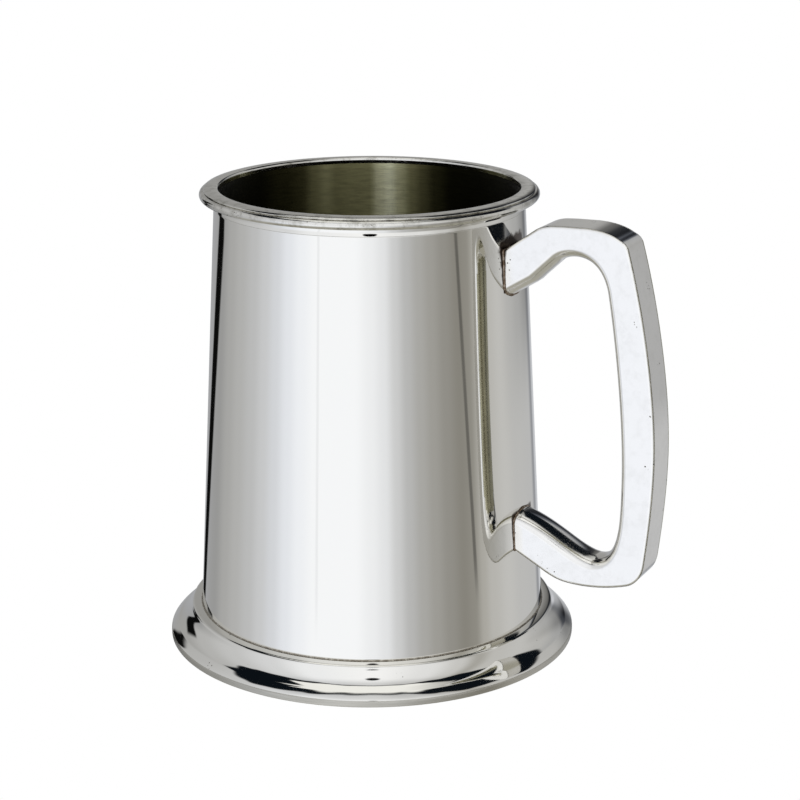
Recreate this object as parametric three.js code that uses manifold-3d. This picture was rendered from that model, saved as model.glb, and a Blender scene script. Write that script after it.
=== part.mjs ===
// Pewter tankard of about one pint: a tapered drum between a moulded lip and a flared foot, with a
// floor disc and a cast handle, all joined by soft solder. Millimetres, +Z up, table at z = 0, the
// handle on the +X side and the whole tankard symmetric about the XZ plane.
import * as THREE from 'three';
import { mergeVertices } from 'three/addons/utils/BufferGeometryUtils.js';
import Module from 'manifold-3d';

const wasm = await Module();
wasm.setup();

// Overall sizes
const HEIGHT = 119;             // table to the crown of the lip
const FOOT_RADIUS = 53.3;       // outer edge of the foot
const HANDLE_REACH = 79.9;      // drum axis to the outermost point of the grip

// Drum
const DRUM_FOOT_RADIUS = 45;    // outside, at its lower edge
const DRUM_LIP_RADIUS = 39.3;   // outside, just under the lip's collar
const WALL = 1.2;               // drum wall
const NECK_WALL = 0.62;         // drum wall where it is turned down to enter the collar

// Lip moulding
const LIP_HEIGHT = 5.1;         // crown to the lower edge of the collar
const COLLAR_HEIGHT = 2.1;
const COLLAR_WALL = 0.85;
const BEAD_RADIUS = 1.1;        // half-round bead below the lip
const LIP_OVERHANG = 3.1;        // how far the bead stands out from the collar
const FLANGE = 1.6;             // thickness of the lip over the drum's top edge
const LIP_SOLDER_HEIGHT = 0.9;

// Foot moulding
const FOOT_HEIGHT = 8.7;        // table to the seat of the drum
const FOOT_EDGE = 1.3;          // upright band at the outer edge
const FOOT_LAND = 1.8;          // width of the ring that meets the table
const SHOULDER_REACH = 2.7;     // shoulder beyond the drum
const SHOULDER_DROP = 0.9;      // seat to the foot of the shoulder
const SEAT_REACH = 3.5;         // seat inside the drum's outer face, to carry the floor
const FOOT_WALL = 1.5;

// Floor disc
const FLOOR_THICKNESS = 1.4;
const FLOOR_SOLDER = 0.8;       // leg of the seam where floor meets drum

// Handle
const HANDLE_WIDTH = 10.4;
const HANDLE_BEVEL = 0.4;
const ARM_SWELL = 1.9;          // rounding of the arms towards the fingers, at mid width
const GRIP_SWELL = 1.2;         // the same on the grip
const SWELL_FLAT = 0.6;         // width of the level strip along the swell
const HANDLE_DROP = 4.6;        // crown of the lip to the top of the handle
const HANDLE_RISE = 23.9;       // table to the underside of the handle
const HANDLE_LEAN = 8.3;        // grip's upper corner, back from its outermost point
const UPPER_CORNER_DROP = 4.1;  // handle top to the upper corner
const GRIP_DEPTH = 8;           // front to back, at the palm
const PALM_DROP = 11.2;         // outermost point of the grip, below the handle's mid height
const UPPER_ARM_DEPTH = 6.1;
const LOWER_ARM_DEPTH = 5.2;
const UPPER_ROOT_DROP = 7.1;    // handle top to the top of the upper root
const UPPER_ROOT_DEPTH = 9.9;
const LOWER_ROOT_RISE = 6.1;    // handle underside to the underside of the lower root
const LOWER_ROOT_DEPTH = 7.8;
const ROOT_SINK = 3;            // extra length of each arm before it is cut to the drum

// Joints
const SEAM = 0.3;               // solder film between neighbouring pieces
const SEAM_LEG = 0.5;           // leg of the outer solder fillets
const AROUND = 64;              // facets round the turned pieces
const CURVE_STEPS = 5;          // facets along each curved stretch

// Heights and radii that follow
const collarZ = HEIGHT - LIP_HEIGHT;
const drumFootZ = FOOT_HEIGHT + SEAM;
const drumShoulderZ = collarZ - SEAM;
const flangeZ = HEIGHT - FLANGE;
const drumTopZ = flangeZ - 2 * SEAM - LIP_SOLDER_HEIGHT;
const drumSlope = (DRUM_LIP_RADIUS - DRUM_FOOT_RADIUS) / (drumShoulderZ - drumFootZ);
const neckInner = drumRadius(drumTopZ) - WALL;
const floorTopZ = drumFootZ + FLOOR_THICKNESS;
const handleTopZ = HEIGHT - HANDLE_DROP;

function drumRadius(z) {
  return DRUM_FOOT_RADIUS + drumSlope * (z - drumFootZ);
}

function between(from, to, share) {
  return from + share * (to - from);
}

function metal(color, roughness) {
  return new THREE.MeshStandardMaterial({ color, roughness, metalness: 1 });
}

function closed(geometry) {
  geometry.deleteAttribute('normal');
  geometry.deleteAttribute('uv');
  return mergeVertices(geometry, 1e-4);
}

// A section in the plane of radius and height, run anticlockwise, turned about the tankard's axis.
function turned(section) {
  const points = Array.isArray(section) ? section : section.getPoints(CURVE_STEPS);
  const loop = points.map((point) => new THREE.Vector2(...point.toArray()));
  loop.push(loop[0].clone());
  return closed(new THREE.LatheGeometry(loop, AROUND).rotateX(Math.PI / 2));
}

function corners(...pairs) {
  return pairs.map(([radius, z]) => new THREE.Vector2(radius, z));
}

function toSolid(geometry) {
  const vertProperties = new Float32Array(geometry.getAttribute('position').array);
  const triVerts = new Uint32Array(geometry.getIndex().array);
  return new wasm.Manifold(new wasm.Mesh({ numProp: 3, vertProperties, triVerts }));
}

function toGeometry(solid) {
  const { vertProperties, triVerts } = solid.getMesh();
  const geometry = new THREE.BufferGeometry();
  geometry.setAttribute('position', new THREE.BufferAttribute(new Float32Array(vertProperties), 3));
  geometry.setIndex(new THREE.BufferAttribute(new Uint32Array(triVerts), 1));
  return geometry;
}

function piece(name, geometry, material) {
  const mesh = new THREE.Mesh(geometry, material);
  mesh.name = name;
  return mesh;
}

// Tapered wall, turned down at the top to enter the lip's collar.
function bodyDrum() {
  const neck = neckInner + NECK_WALL;
  const section = corners(
    [DRUM_FOOT_RADIUS - WALL, drumFootZ],
    [DRUM_FOOT_RADIUS, drumFootZ],
    [DRUM_LIP_RADIUS, drumShoulderZ],
    [neck, drumShoulderZ],
    [neck, drumTopZ],
    [neckInner, drumTopZ],
  );
  return piece('body_drum', turned(section), metal(0xd2d1ce, 0.08));
}

// Cast rim: collar round the drum's neck, half-round bead, and a crowned lip over the top edge.
function lipMoulding() {
  const bore = neckInner + NECK_WALL + SEAM;
  const collar = bore + COLLAR_WALL;
  const beadCentre = collar + LIP_OVERHANG - BEAD_RADIUS;
  const beadZ = collarZ + COLLAR_HEIGHT + BEAD_RADIUS;
  const mouth = neckInner + 0.4;
  const section = new THREE.Path();
  section.moveTo(bore, collarZ);
  section.lineTo(collar, collarZ);
  section.lineTo(collar, collarZ + COLLAR_HEIGHT);
  section.lineTo(beadCentre, collarZ + COLLAR_HEIGHT);
  section.absarc(beadCentre, beadZ, BEAD_RADIUS, -Math.PI / 2, Math.PI / 2, false);
  section.lineTo(beadCentre, HEIGHT - 0.4);
  section.quadraticCurveTo(mouth + 1.5, HEIGHT + 0.2, mouth, HEIGHT - 0.1);
  section.quadraticCurveTo(neckInner, HEIGHT - 0.3, neckInner, HEIGHT - 0.8);
  section.lineTo(neckInner, flangeZ);
  section.lineTo(bore, flangeZ);
  return piece('lip_moulding', turned(section), metal(0xc9c8c4, 0.18));
}

// Solder that fills the pocket between the drum's top edge and the lip.
function lipSolder() {
  const low = drumTopZ + SEAM;
  const high = low + LIP_SOLDER_HEIGHT;
  const outer = neckInner + NECK_WALL;
  const section = corners([neckInner, low], [outer, low], [outer, high], [neckInner, high]);
  return piece('lip_solder', turned(section), metal(0x9c978c, 0.4));
}

// Hollow cast foot: seat for the drum and floor, shoulder, ogee flare and upright edge.
function footMoulding() {
  const shoulder = DRUM_FOOT_RADIUS + SHOULDER_REACH;
  const shoulderZ = FOOT_HEIGHT - SHOULDER_DROP;
  const waist = shoulder + 0.66 * (FOOT_RADIUS - shoulder);
  const waistZ = FOOT_EDGE + 0.3 * (shoulderZ - FOOT_EDGE);
  const seatInner = DRUM_FOOT_RADIUS - SEAT_REACH;
  const underZ = FOOT_HEIGHT - FOOT_WALL;
  const land = FOOT_RADIUS - FOOT_LAND;
  const section = new THREE.Path();
  section.moveTo(seatInner, FOOT_HEIGHT);
  section.lineTo(seatInner, underZ);
  section.lineTo(DRUM_FOOT_RADIUS, underZ);
  section.quadraticCurveTo(shoulder - 0.4, underZ - 1.2, waist - 1.5, waistZ - 0.9);
  section.quadraticCurveTo(land, waistZ - 1.4, land, 0);
  section.lineTo(FOOT_RADIUS - 0.15, 0);
  section.lineTo(FOOT_RADIUS, 0.15);
  section.lineTo(FOOT_RADIUS, FOOT_EDGE);
  section.quadraticCurveTo(FOOT_RADIUS - 0.5, FOOT_EDGE + 0.8, waist, waistZ);
  section.quadraticCurveTo(shoulder + 0.9, waistZ + 1.6, shoulder, shoulderZ);
  section.quadraticCurveTo(shoulder - 0.15, shoulderZ + 0.45, shoulder - 0.7, shoulderZ + 0.6);
  section.lineTo(DRUM_FOOT_RADIUS, FOOT_HEIGHT);
  return piece('foot_moulding', turned(section), metal(0xc8c7c3, 0.12));
}

// Solder fillet in the outer corner between drum and foot.
function footSolder() {
  const low = drumFootZ;
  const inner = DRUM_FOOT_RADIUS + SEAM;
  const section = corners(
    [inner, low],
    [inner + SEAM_LEG, low],
    [inner + SEAM_LEG / 3, low + SEAM_LEG / 3],
    [inner, low + SEAM_LEG],
  );
  return piece('foot_solder', turned(section), metal(0x8d8271, 0.45));
}

// Disc that closes the drum, standing on the foot's seat.
function floorDisc() {
  const edge = drumRadius(floorTopZ) - WALL - SEAM;
  const section = corners([edge, drumFootZ], [edge, floorTopZ]);
  const profile = [new THREE.Vector2(0, drumFootZ), ...section, new THREE.Vector2(0, floorTopZ)];
  const geometry = closed(new THREE.LatheGeometry(profile, AROUND).rotateX(Math.PI / 2));
  return piece('floor_disc', geometry, metal(0xb9b7b0, 0.35));
}

// Watertight solder seam in the inner corner between floor and drum.
function floorSolder() {
  const low = floorTopZ + SEAM;
  const outer = drumRadius(low + FLOOR_SOLDER) - WALL - SEAM;
  const section = corners(
    [outer - FLOOR_SOLDER, low],
    [outer, low],
    [outer, low + FLOOR_SOLDER],
    [outer - FLOOR_SOLDER / 3, low + FLOOR_SOLDER / 3],
  );
  return piece('floor_solder', turned(section), metal(0x8d8779, 0.45));
}

// Side view of the handle, with both arms running on into the drum. Its outer side can be drawn in
// by an inset, and its inner side moved towards the fingers by its swell (0 for none, 1 for all).
function handleOutline(inset, swell) {
  const armSwell = swell * ARM_SWELL;
  const back = HANDLE_REACH - inset;
  const topZ = handleTopZ - inset;
  const lowZ = HANDLE_RISE + inset;
  const cornerX = back - HANDLE_LEAN;
  const cornerZ = topZ - UPPER_CORNER_DROP;
  const palmZ = (handleTopZ + HANDLE_RISE) / 2 - PALM_DROP;
  const innerX = HANDLE_REACH - GRIP_DEPTH - swell * GRIP_SWELL;
  const armUnderZ = handleTopZ - UPPER_ARM_DEPTH - armSwell;
  const armTopZ = HANDLE_RISE + LOWER_ARM_DEPTH + armSwell;
  const upperZ = topZ - UPPER_ROOT_DROP;
  const upperUnderZ = handleTopZ - UPPER_ROOT_DROP - UPPER_ROOT_DEPTH - armSwell;
  const lowerZ = lowZ + LOWER_ROOT_RISE;
  const lowerTopZ = HANDLE_RISE + LOWER_ROOT_RISE + LOWER_ROOT_DEPTH + armSwell;
  const upperX = drumRadius(upperUnderZ);
  const lowerX = drumRadius(lowerZ);
  const heelZ = lowZ + 7.5;
  const frontLowZ = armTopZ + 9.4;
  const frontTopZ = armUnderZ - 9.8;
  // Places along each arm, as shares of its length from the drum
  const crest = (share) => between(upperX, cornerX, share);
  const below = (share) => between(upperX, innerX, share);
  const above = (share) => between(lowerX, innerX, share);
  const under = (share) => between(lowerX, back, share);
  const outline = new THREE.Shape();
  // Upper arm, from the drum over the crest to the corner above the grip
  outline.moveTo(upperX - ROOT_SINK, upperZ - 0.7 * ROOT_SINK);
  outline.lineTo(crest(0.2), topZ - 2.1);
  outline.quadraticCurveTo(crest(0.3), topZ - 0.3, crest(0.46), topZ - 0.1);
  outline.lineTo(crest(0.63), topZ);
  outline.quadraticCurveTo(crest(0.82), topZ, cornerX - 2.2, cornerZ + 2);
  outline.quadraticCurveTo(cornerX - 0.6, cornerZ + 1.4, cornerX, cornerZ);
  // Back of the grip
  outline.bezierCurveTo(cornerX + 4.6, between(cornerZ, palmZ, 0.3),
    back, between(cornerZ, palmZ, 0.7), back, palmZ);
  outline.bezierCurveTo(back, between(palmZ, heelZ, 0.38), back - 1.1, between(palmZ, heelZ, 0.76),
    back - 1.9, heelZ);
  outline.quadraticCurveTo(back - 2.7, lowZ + 2.7, back - 6.7, lowZ + 1.6);
  // Underside of the lower arm, back to the drum
  outline.quadraticCurveTo(under(0.58), lowZ - 0.9, under(0.36), lowZ + 0.1);
  outline.quadraticCurveTo(under(0.28), lowZ + 0.6, under(0.19), lowZ + 2.5);
  outline.lineTo(lowerX, lowerZ);
  outline.lineTo(lowerX - ROOT_SINK, lowerZ + 0.5 * ROOT_SINK);
  outline.lineTo(lowerX - ROOT_SINK, lowerTopZ);
  // Top of the lower arm, an S from the drum into the finger gap
  outline.lineTo(lowerX, lowerTopZ);
  outline.bezierCurveTo(above(0.33), lowerTopZ - 3, above(0.5), armTopZ + 0.2, above(0.71), armTopZ);
  outline.quadraticCurveTo(above(0.92), armTopZ + 0.5, above(0.975), frontLowZ);
  // Front of the grip
  const frontMidZ = between(frontLowZ, palmZ, 0.69);
  outline.bezierCurveTo(innerX, between(frontLowZ, frontMidZ, 0.25),
    innerX, between(frontLowZ, frontMidZ, 0.7), innerX, frontMidZ);
  outline.bezierCurveTo(innerX, between(frontMidZ, frontTopZ, 0.35),
    below(0.91), between(frontMidZ, frontTopZ, 0.78), below(0.85), frontTopZ);
  outline.bezierCurveTo(below(0.81), armUnderZ - 3.7, below(0.7), armUnderZ - 0.2,
    below(0.54), armUnderZ);
  // Underside of the upper arm, deepening to the drum
  outline.quadraticCurveTo(below(0.43), armUnderZ, below(0.36), armUnderZ - 2);
  outline.lineTo(below(0.18), upperUnderZ + 3.6);
  outline.lineTo(upperX, upperUnderZ);
  outline.lineTo(upperX - ROOT_SINK, upperUnderZ - 0.6 * ROOT_SINK);
  return outline;
}

// A bar of the handle's side view, centred on the XZ plane, its outline shrunk at both faces.
function sideBar(outline, width, bevelThickness, bevelSize, bevelSegments, growth) {
  const depth = width - 2 * bevelThickness;
  const geometry = new THREE.ExtrudeGeometry(outline, {
    depth,
    bevelThickness,
    bevelSize,
    bevelOffset: growth - bevelSize,
    bevelSegments,
    curveSegments: CURVE_STEPS,
  });
  geometry.rotateX(Math.PI / 2);
  geometry.translate(0, depth / 2, 0);
  return toSolid(closed(geometry));
}

// The handle's D-shaped bar, flat outside and swelled towards the fingers, grown by an allowance.
function handleBar(growth) {
  const width = HANDLE_WIDTH + 2 * growth;
  const flat = sideBar(handleOutline(0, 0), width, HANDLE_BEVEL, HANDLE_BEVEL, 1, growth);
  const swellWidth = width - 2 * HANDLE_BEVEL;
  const slope = (swellWidth - SWELL_FLAT) / 2;
  const round = ARM_SWELL + HANDLE_BEVEL / 2;
  const swell = sideBar(handleOutline(HANDLE_BEVEL, 1), swellWidth, slope, round, 3, growth);
  return flat.add(swell);
}

// A solid the shape of the drum's outside, grown by an allowance, as tall as the handle.
function drumBlock(growth) {
  const low = FOOT_HEIGHT;
  const section = corners(
    [0, low],
    [drumRadius(low) + growth, low],
    [drumRadius(HEIGHT) + growth, HEIGHT],
    [0, HEIGHT],
  );
  return toSolid(closed(new THREE.LatheGeometry(section, AROUND).rotateX(Math.PI / 2)));
}

function slab(low, high) {
  const size = 4 * HANDLE_REACH;
  const geometry = new THREE.BoxGeometry(size, size, high - low);
  geometry.translate(0, 0, (low + high) / 2);
  return toSolid(closed(geometry));
}

function handle() {
  const solid = handleBar(0).subtract(drumBlock(SEAM));
  return piece('handle', toGeometry(solid), metal(0xd6d5d2, 0.12));
}

// Solder fillet round one end of the handle, where it meets the drum.
function rootSolder(name, low, high) {
  const shell = drumBlock(SEAM + SEAM_LEG).subtract(drumBlock(SEAM)).intersect(slab(low, high));
  const ring = handleBar(SEAM + SEAM_LEG).subtract(handleBar(SEAM)).intersect(shell);
  return piece(name, toGeometry(ring), metal(0x84796a, 0.45));
}

const middleZ = HEIGHT / 2;
const tankard = new THREE.Group();
tankard.add(
  bodyDrum(),
  lipMoulding(),
  lipSolder(),
  footMoulding(),
  footSolder(),
  floorDisc(),
  floorSolder(),
  handle(),
  rootSolder('upper_root_solder', middleZ, HEIGHT),
  rootSolder('lower_root_solder', FOOT_HEIGHT, middleZ),
);
// The origin is under the middle of the whole width, handle included.
tankard.position.x = (FOOT_RADIUS - HANDLE_REACH) / 2;

export default tankard;
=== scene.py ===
import math

import bmesh
import bpy
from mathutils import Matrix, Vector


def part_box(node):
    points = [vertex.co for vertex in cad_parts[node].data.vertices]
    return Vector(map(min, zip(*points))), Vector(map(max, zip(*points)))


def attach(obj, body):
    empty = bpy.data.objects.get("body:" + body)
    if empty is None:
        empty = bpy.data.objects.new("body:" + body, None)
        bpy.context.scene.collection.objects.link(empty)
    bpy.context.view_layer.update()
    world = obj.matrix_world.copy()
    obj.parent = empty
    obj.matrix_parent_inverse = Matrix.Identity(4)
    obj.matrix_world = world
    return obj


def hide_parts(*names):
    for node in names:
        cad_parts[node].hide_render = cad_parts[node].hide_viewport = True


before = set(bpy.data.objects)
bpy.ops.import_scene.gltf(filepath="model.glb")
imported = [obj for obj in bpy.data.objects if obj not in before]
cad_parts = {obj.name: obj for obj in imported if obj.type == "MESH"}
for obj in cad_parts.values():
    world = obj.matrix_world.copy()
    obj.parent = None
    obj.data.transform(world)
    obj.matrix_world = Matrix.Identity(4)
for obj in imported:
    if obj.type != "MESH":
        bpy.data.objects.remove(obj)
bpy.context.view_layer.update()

MM = 0.001
MERGE = 1e-6                     # metres; doubled vertices closer than this become one


def cad(node):
    """Lowest and highest corner of a CAD node, in millimetres."""
    return [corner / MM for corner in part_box(node)]


foot_low, foot_high = cad("foot_moulding")
drum_low, drum_high = cad("body_drum")
lip_low, lip_high = cad("lip_moulding")
disc_low, disc_high = cad("floor_disc")
bar_low, bar_high = cad("handle")

# Places that follow from the frame
AXIS_X = (foot_low.x + foot_high.x) / 2
HEIGHT = lip_high.z
FOOT_RADIUS = (foot_high.x - foot_low.x) / 2
DRUM_FOOT_RADIUS = (drum_high.x - drum_low.x) / 2
HANDLE_REACH = bar_high.x - AXIS_X
HANDLE_TOP = bar_high.z
HANDLE_LOW = bar_low.z
HALF_WIDTH = (bar_high.y - bar_low.y) / 2
SEAT_Z = foot_high.z
FLOOR_TOP = disc_high.z
COLLAR_Z = lip_low.z

# Drum and lip
DRUM_LIP_RADIUS = 39.3
WALL = 1.2
FILM = 0.02                      # visible pieces sit this close to each other
NECK = 38.6                      # outside of the drum's mouth, where the lip goes over it
BORE = 37.98                     # inside of the lip and of the drum's mouth
MOUTH_Z = HEIGHT - 2.85          # the drum's upper end, inside the lip
LEDGE_Z = HEIGHT - 1.6           # the ledge inside the lip, above the drum's upper end
COLLAR_RADIUS = 39.1
COLLAR_HEIGHT = 2.1
BEAD_RADIUS = 1.1                # of the half-round bead above the collar
BEAD_CENTRE = 41.75

# Turning and drawing
AROUND = 256                     # steps round a turned piece
CURVE_STEPS = 20                 # steps along a drawn curve
FILLET_STEPS = 4
GUARD = 0.25                     # a fillet is followed by a vertex this far along the straight
CREASE = math.radians(35)        # edges sharper than this stay sharp


def drum_radius(z):
    """Outside radius of the tapered drum at a height."""
    share = (z - SEAT_Z) / (COLLAR_Z - SEAT_Z)
    return DRUM_FOOT_RADIUS + share * (DRUM_LIP_RADIUS - DRUM_FOOT_RADIUS)


def between(start, end, share):
    return start + share * (end - start)


# ---------------------------------------------------------------- outlines


def straight(start, end, steps=6):
    """Straight line after its start point, up to and with its end."""
    return [tuple(between(a, b, step / steps) for a, b in zip(start, end))
            for step in range(1, steps + 1)]


def bend(start, control, end, steps=CURVE_STEPS):
    """Quadratic curve after its start point, up to and with its end."""
    points = []
    for step in range(1, steps + 1):
        t = step / steps
        points.append(tuple(
            (1 - t) ** 2 * a + 2 * t * (1 - t) * b + t * t * c
            for a, b, c in zip(start, control, end)
        ))
    return points


def sweep(start, first, second, end, steps=CURVE_STEPS):
    """Cubic curve after its start point, up to and with its end."""
    points = []
    for step in range(1, steps + 1):
        t = step / steps
        points.append(tuple(
            (1 - t) ** 3 * a + 3 * t * (1 - t) ** 2 * b + 3 * t * t * (1 - t) * c + t ** 3 * d
            for a, b, c, d in zip(start, first, second, end)
        ))
    return points


def arc(centre, radius, start, end, steps):
    """Points of a circle from one angle to another, in degrees, both ends with it."""
    points = []
    for step in range(steps + 1):
        angle = math.radians(between(start, end, step / steps))
        points.append((centre[0] + radius * math.cos(angle), centre[1] + radius * math.sin(angle)))
    return points


def towards(point, other, distance):
    """The place at a distance from one point on the way to another."""
    dx = other[0] - point[0]
    dz = other[1] - point[1]
    whole = math.hypot(dx, dz)
    return (point[0] + dx * distance / whole, point[1] + dz * distance / whole)


def rounded(corners):
    """Closed outline of corners (radius, height, rounding); a rounding of 0 keeps the point."""
    points = []
    for index, (x, z, size) in enumerate(corners):
        corner = (x, z)
        before = corners[index - 1][:2]
        after = corners[(index + 1) % len(corners)][:2]
        if size == 0:
            points.append(corner)
            continue
        start = towards(corner, before, size)
        end = towards(corner, after, size)
        if math.dist(corner, before) > 2 * (size + GUARD):
            points.append(towards(start, before, GUARD))
        points.append(start)
        points.extend(bend(start, corner, end, FILLET_STEPS))
        if math.dist(corner, after) > 2 * (size + GUARD):
            points.append(towards(end, after, GUARD))
    return points


# ---------------------------------------------------------------- modelling


def trace(name, points, y=0.0):
    """A wire drawn in the plane of X and Z through the points, left in edit mode."""
    bpy.ops.object.select_all(action="DESELECT")
    bpy.ops.mesh.primitive_plane_add(size=MM, enter_editmode=True)
    piece = bpy.context.active_object
    piece.name = name
    piece.data.name = name
    bpy.ops.mesh.select_mode(type="VERT")
    bpy.ops.mesh.select_all(action="SELECT")
    bpy.ops.mesh.merge(type="CENTER")
    bpy.ops.transform.translate(value=(points[0][0] * MM, y * MM, points[0][1] * MM))
    for (x, z), (next_x, next_z) in zip(points, points[1:]):
        step = ((next_x - x) * MM, 0, (next_z - z) * MM)
        bpy.ops.mesh.extrude_region_move(TRANSFORM_OT_translate={"value": step})
    return piece


def weld():
    """Merges what is doubled in the piece that is being edited."""
    bpy.ops.mesh.select_all(action="SELECT")
    bpy.ops.mesh.remove_doubles(threshold=MERGE)


def turned(name, section):
    """Turns a closed section of (radius, height) about the tankard's axis."""
    loop = [(AXIS_X + radius, z) for radius, z in section]
    piece = trace(name, loop + loop[:1])
    weld()
    centre = (AXIS_X * MM, 0, 0)
    bpy.ops.mesh.spin(steps=AROUND, angle=math.tau, center=centre, axis=(0, 0, 1))
    weld()
    bpy.ops.mesh.normals_make_consistent(inside=False)
    bpy.ops.object.mode_set(mode="OBJECT")
    bpy.ops.object.shade_smooth_by_angle(angle=CREASE)
    return piece


def pick(piece, kind, test):
    """Selects, in edit mode, the faces or the edges for which the test is true."""
    bpy.ops.mesh.select_mode(type=kind)
    bpy.ops.mesh.select_all(action="DESELECT")
    mesh = bmesh.from_edit_mesh(piece.data)
    for part in (mesh.faces if kind == "FACE" else mesh.edges):
        part.select_set(test(part))
    mesh.select_flush_mode()
    bmesh.update_edit_mesh(piece.data)


def only(piece):
    """Makes a piece the only one selected, and active."""
    bpy.ops.object.select_all(action="DESELECT")
    piece.select_set(True)
    bpy.context.view_layer.objects.active = piece


# ---------------------------------------------------------------- drum, lip, foot and floor


def make_drum():
    section = rounded([
        (DRUM_FOOT_RADIUS - WALL, SEAT_Z + FILM, 0),
        (DRUM_FOOT_RADIUS, SEAT_Z + FILM, 0.2),
        (DRUM_LIP_RADIUS, COLLAR_Z - FILM, 0.08),
        (NECK, COLLAR_Z - FILM, 0),
        (NECK, MOUTH_Z, 0),
        (BORE, MOUTH_Z, 0),
    ])
    return turned("drum", section)


def make_lip():
    inner = NECK + FILM
    quirk = 41.32                        # the groove between bead and crown
    mouth = BORE + 0.4                   # where the crown turns down into the bore
    bead_z = COLLAR_Z + COLLAR_HEIGHT + BEAD_RADIUS

    def collar(out, up):
        """A place on the collar, measured out from its side and up from its foot."""
        return (COLLAR_RADIUS + out, COLLAR_Z + up)

    def crown(out, down):
        """A place on the crown, measured out from the bead's middle and down from the top."""
        return (BEAD_CENTRE + out, HEIGHT - down)

    section = [
        (inner, COLLAR_Z),
        collar(0.18, 0),
        collar(0.17, 0.06),
        *bend(collar(0.17, 0.06), collar(0.115, 0.36), collar(0.047, 0.66), 8),
        *bend(collar(0.047, 0.66), collar(0, 0.87), collar(0, 1.1), FILLET_STEPS),
        collar(0, COLLAR_HEIGHT - 0.6),
        *bend(collar(0, COLLAR_HEIGHT - 0.4), collar(0, COLLAR_HEIGHT),
              collar(0.5, COLLAR_HEIGHT), FILLET_STEPS),
        *arc((BEAD_CENTRE, bead_z), BEAD_RADIUS, -90, 78, 18),
        (quirk, bead_z + BEAD_RADIUS + 0.02),
        (quirk + 0.12, HEIGHT - 0.62),
        *bend(crown(-0.1, 0.66), crown(0.25, 0.6), crown(-0.2, 0.32), 5),
        *bend(crown(-0.35, 0.26), (mouth + 1.5, HEIGHT + 0.155), (mouth, HEIGHT - 0.1), 10),
        *bend((mouth, HEIGHT - 0.1), (BORE, HEIGHT - 0.3), (BORE, HEIGHT - 0.8), 7),
        (BORE, HEIGHT - 1.0),
        (BORE, LEDGE_Z + FILM),
        (inner, LEDGE_Z + FILM),
    ]
    return turned("lip", section)


def make_foot():
    edge = 1.3                           # height of the upright outer edge
    land = FOOT_RADIUS - 1.8             # inner side of the flat ring that it stands on
    shoulder = DRUM_FOOT_RADIUS + 2.7    # the roll beside the drum
    shoulder_z = SEAT_Z - 0.9
    seat_inner = DRUM_FOOT_RADIUS - 3.5  # the flat seat that carries drum and floor
    under_z = SEAT_Z - 1.5
    # The hollow between shoulder and edge
    waist = between(shoulder, FOOT_RADIUS, 0.66)
    waist_z = between(edge, shoulder_z, 0.3)
    section = [
        (seat_inner, SEAT_Z),
        (seat_inner, under_z),
        (DRUM_FOOT_RADIUS - 0.6, under_z),
        *bend((DRUM_FOOT_RADIUS, under_z), (shoulder - 0.4, under_z - 1.2),
              (waist - 1.5, waist_z - 0.9)),
        *bend((waist - 1.5, waist_z - 0.9), (land, waist_z - 1.4), (land, 0.25)),
        (land + 0.1, 0.05),
        (land + 0.3, 0),
        (FOOT_RADIUS - 0.35, 0),
        *bend((FOOT_RADIUS - 0.2, 0), (FOOT_RADIUS, 0), (FOOT_RADIUS, 0.2), FILLET_STEPS),
        (FOOT_RADIUS, 0.35),
        (FOOT_RADIUS, edge - 0.3),
        *bend((FOOT_RADIUS, edge - 0.15), (FOOT_RADIUS - 0.02, edge + 0.12),
              (FOOT_RADIUS - 0.22, edge + 0.32), FILLET_STEPS),
        *bend((FOOT_RADIUS - 0.22, edge + 0.32), (FOOT_RADIUS - 0.62, edge + 0.86),
              (waist, waist_z)),
        *bend((waist, waist_z), (shoulder + 0.9, waist_z + 1.6), (shoulder, shoulder_z)),
        *bend((shoulder, shoulder_z), (shoulder - 0.15, shoulder_z + 0.45),
              (shoulder - 0.7, shoulder_z + 0.6), 8),
        (shoulder - 1.0, between(shoulder_z + 0.6, SEAT_Z, 0.14)),
        (DRUM_FOOT_RADIUS - 0.4, SEAT_Z),
    ]
    return turned("foot", section)


def make_floor_disc():
    edge = drum_radius(FLOOR_TOP) - WALL - 0.05
    low = SEAT_Z + FILM
    rim_width = 0.8
    flat_radius = 12                     # the dished middle is flat out to about here
    dish_depth = 0.25
    bpy.ops.object.select_all(action="DESELECT")
    bpy.ops.mesh.primitive_cylinder_add(
        vertices=AROUND, radius=edge * MM, depth=(FLOOR_TOP - low) * MM,
        location=(AXIS_X * MM, 0, (FLOOR_TOP + low) / 2 * MM), enter_editmode=True)
    piece = bpy.context.active_object
    piece.name = piece.data.name = "floor"
    pick(piece, "FACE", lambda face: face.normal.z > 0.9)
    bpy.ops.mesh.inset(thickness=rim_width * MM)
    bpy.ops.mesh.inset(thickness=(edge - flat_radius) * MM)
    bpy.ops.transform.translate(value=(0, 0, -dish_depth * MM))
    bpy.ops.object.mode_set(mode="OBJECT")
    bpy.ops.object.transform_apply(location=True, rotation=True, scale=True)
    bpy.ops.object.shade_smooth_by_angle(angle=CREASE)
    return piece


def make_lip_seam():
    """Solder between the drum's upper end and the lip's ledge."""
    low = MOUTH_Z + FILM
    return turned("lip_seam", [(BORE, low), (NECK, low), (NECK, LEDGE_Z), (BORE, LEDGE_Z)])


def make_foot_seam():
    """A thin line of solder laid round the drum's foot."""
    sunk = 0.05
    inner = DRUM_FOOT_RADIUS - sunk
    return turned("foot_seam", rounded([
        (inner, SEAT_Z - sunk, 0),
        (DRUM_FOOT_RADIUS + 0.32, SEAT_Z - sunk, 0.06),
        (DRUM_FOOT_RADIUS + 0.06, SEAT_Z + 0.1, 0.06),
        (inner, SEAT_Z + 0.34, 0),
    ]))


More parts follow.
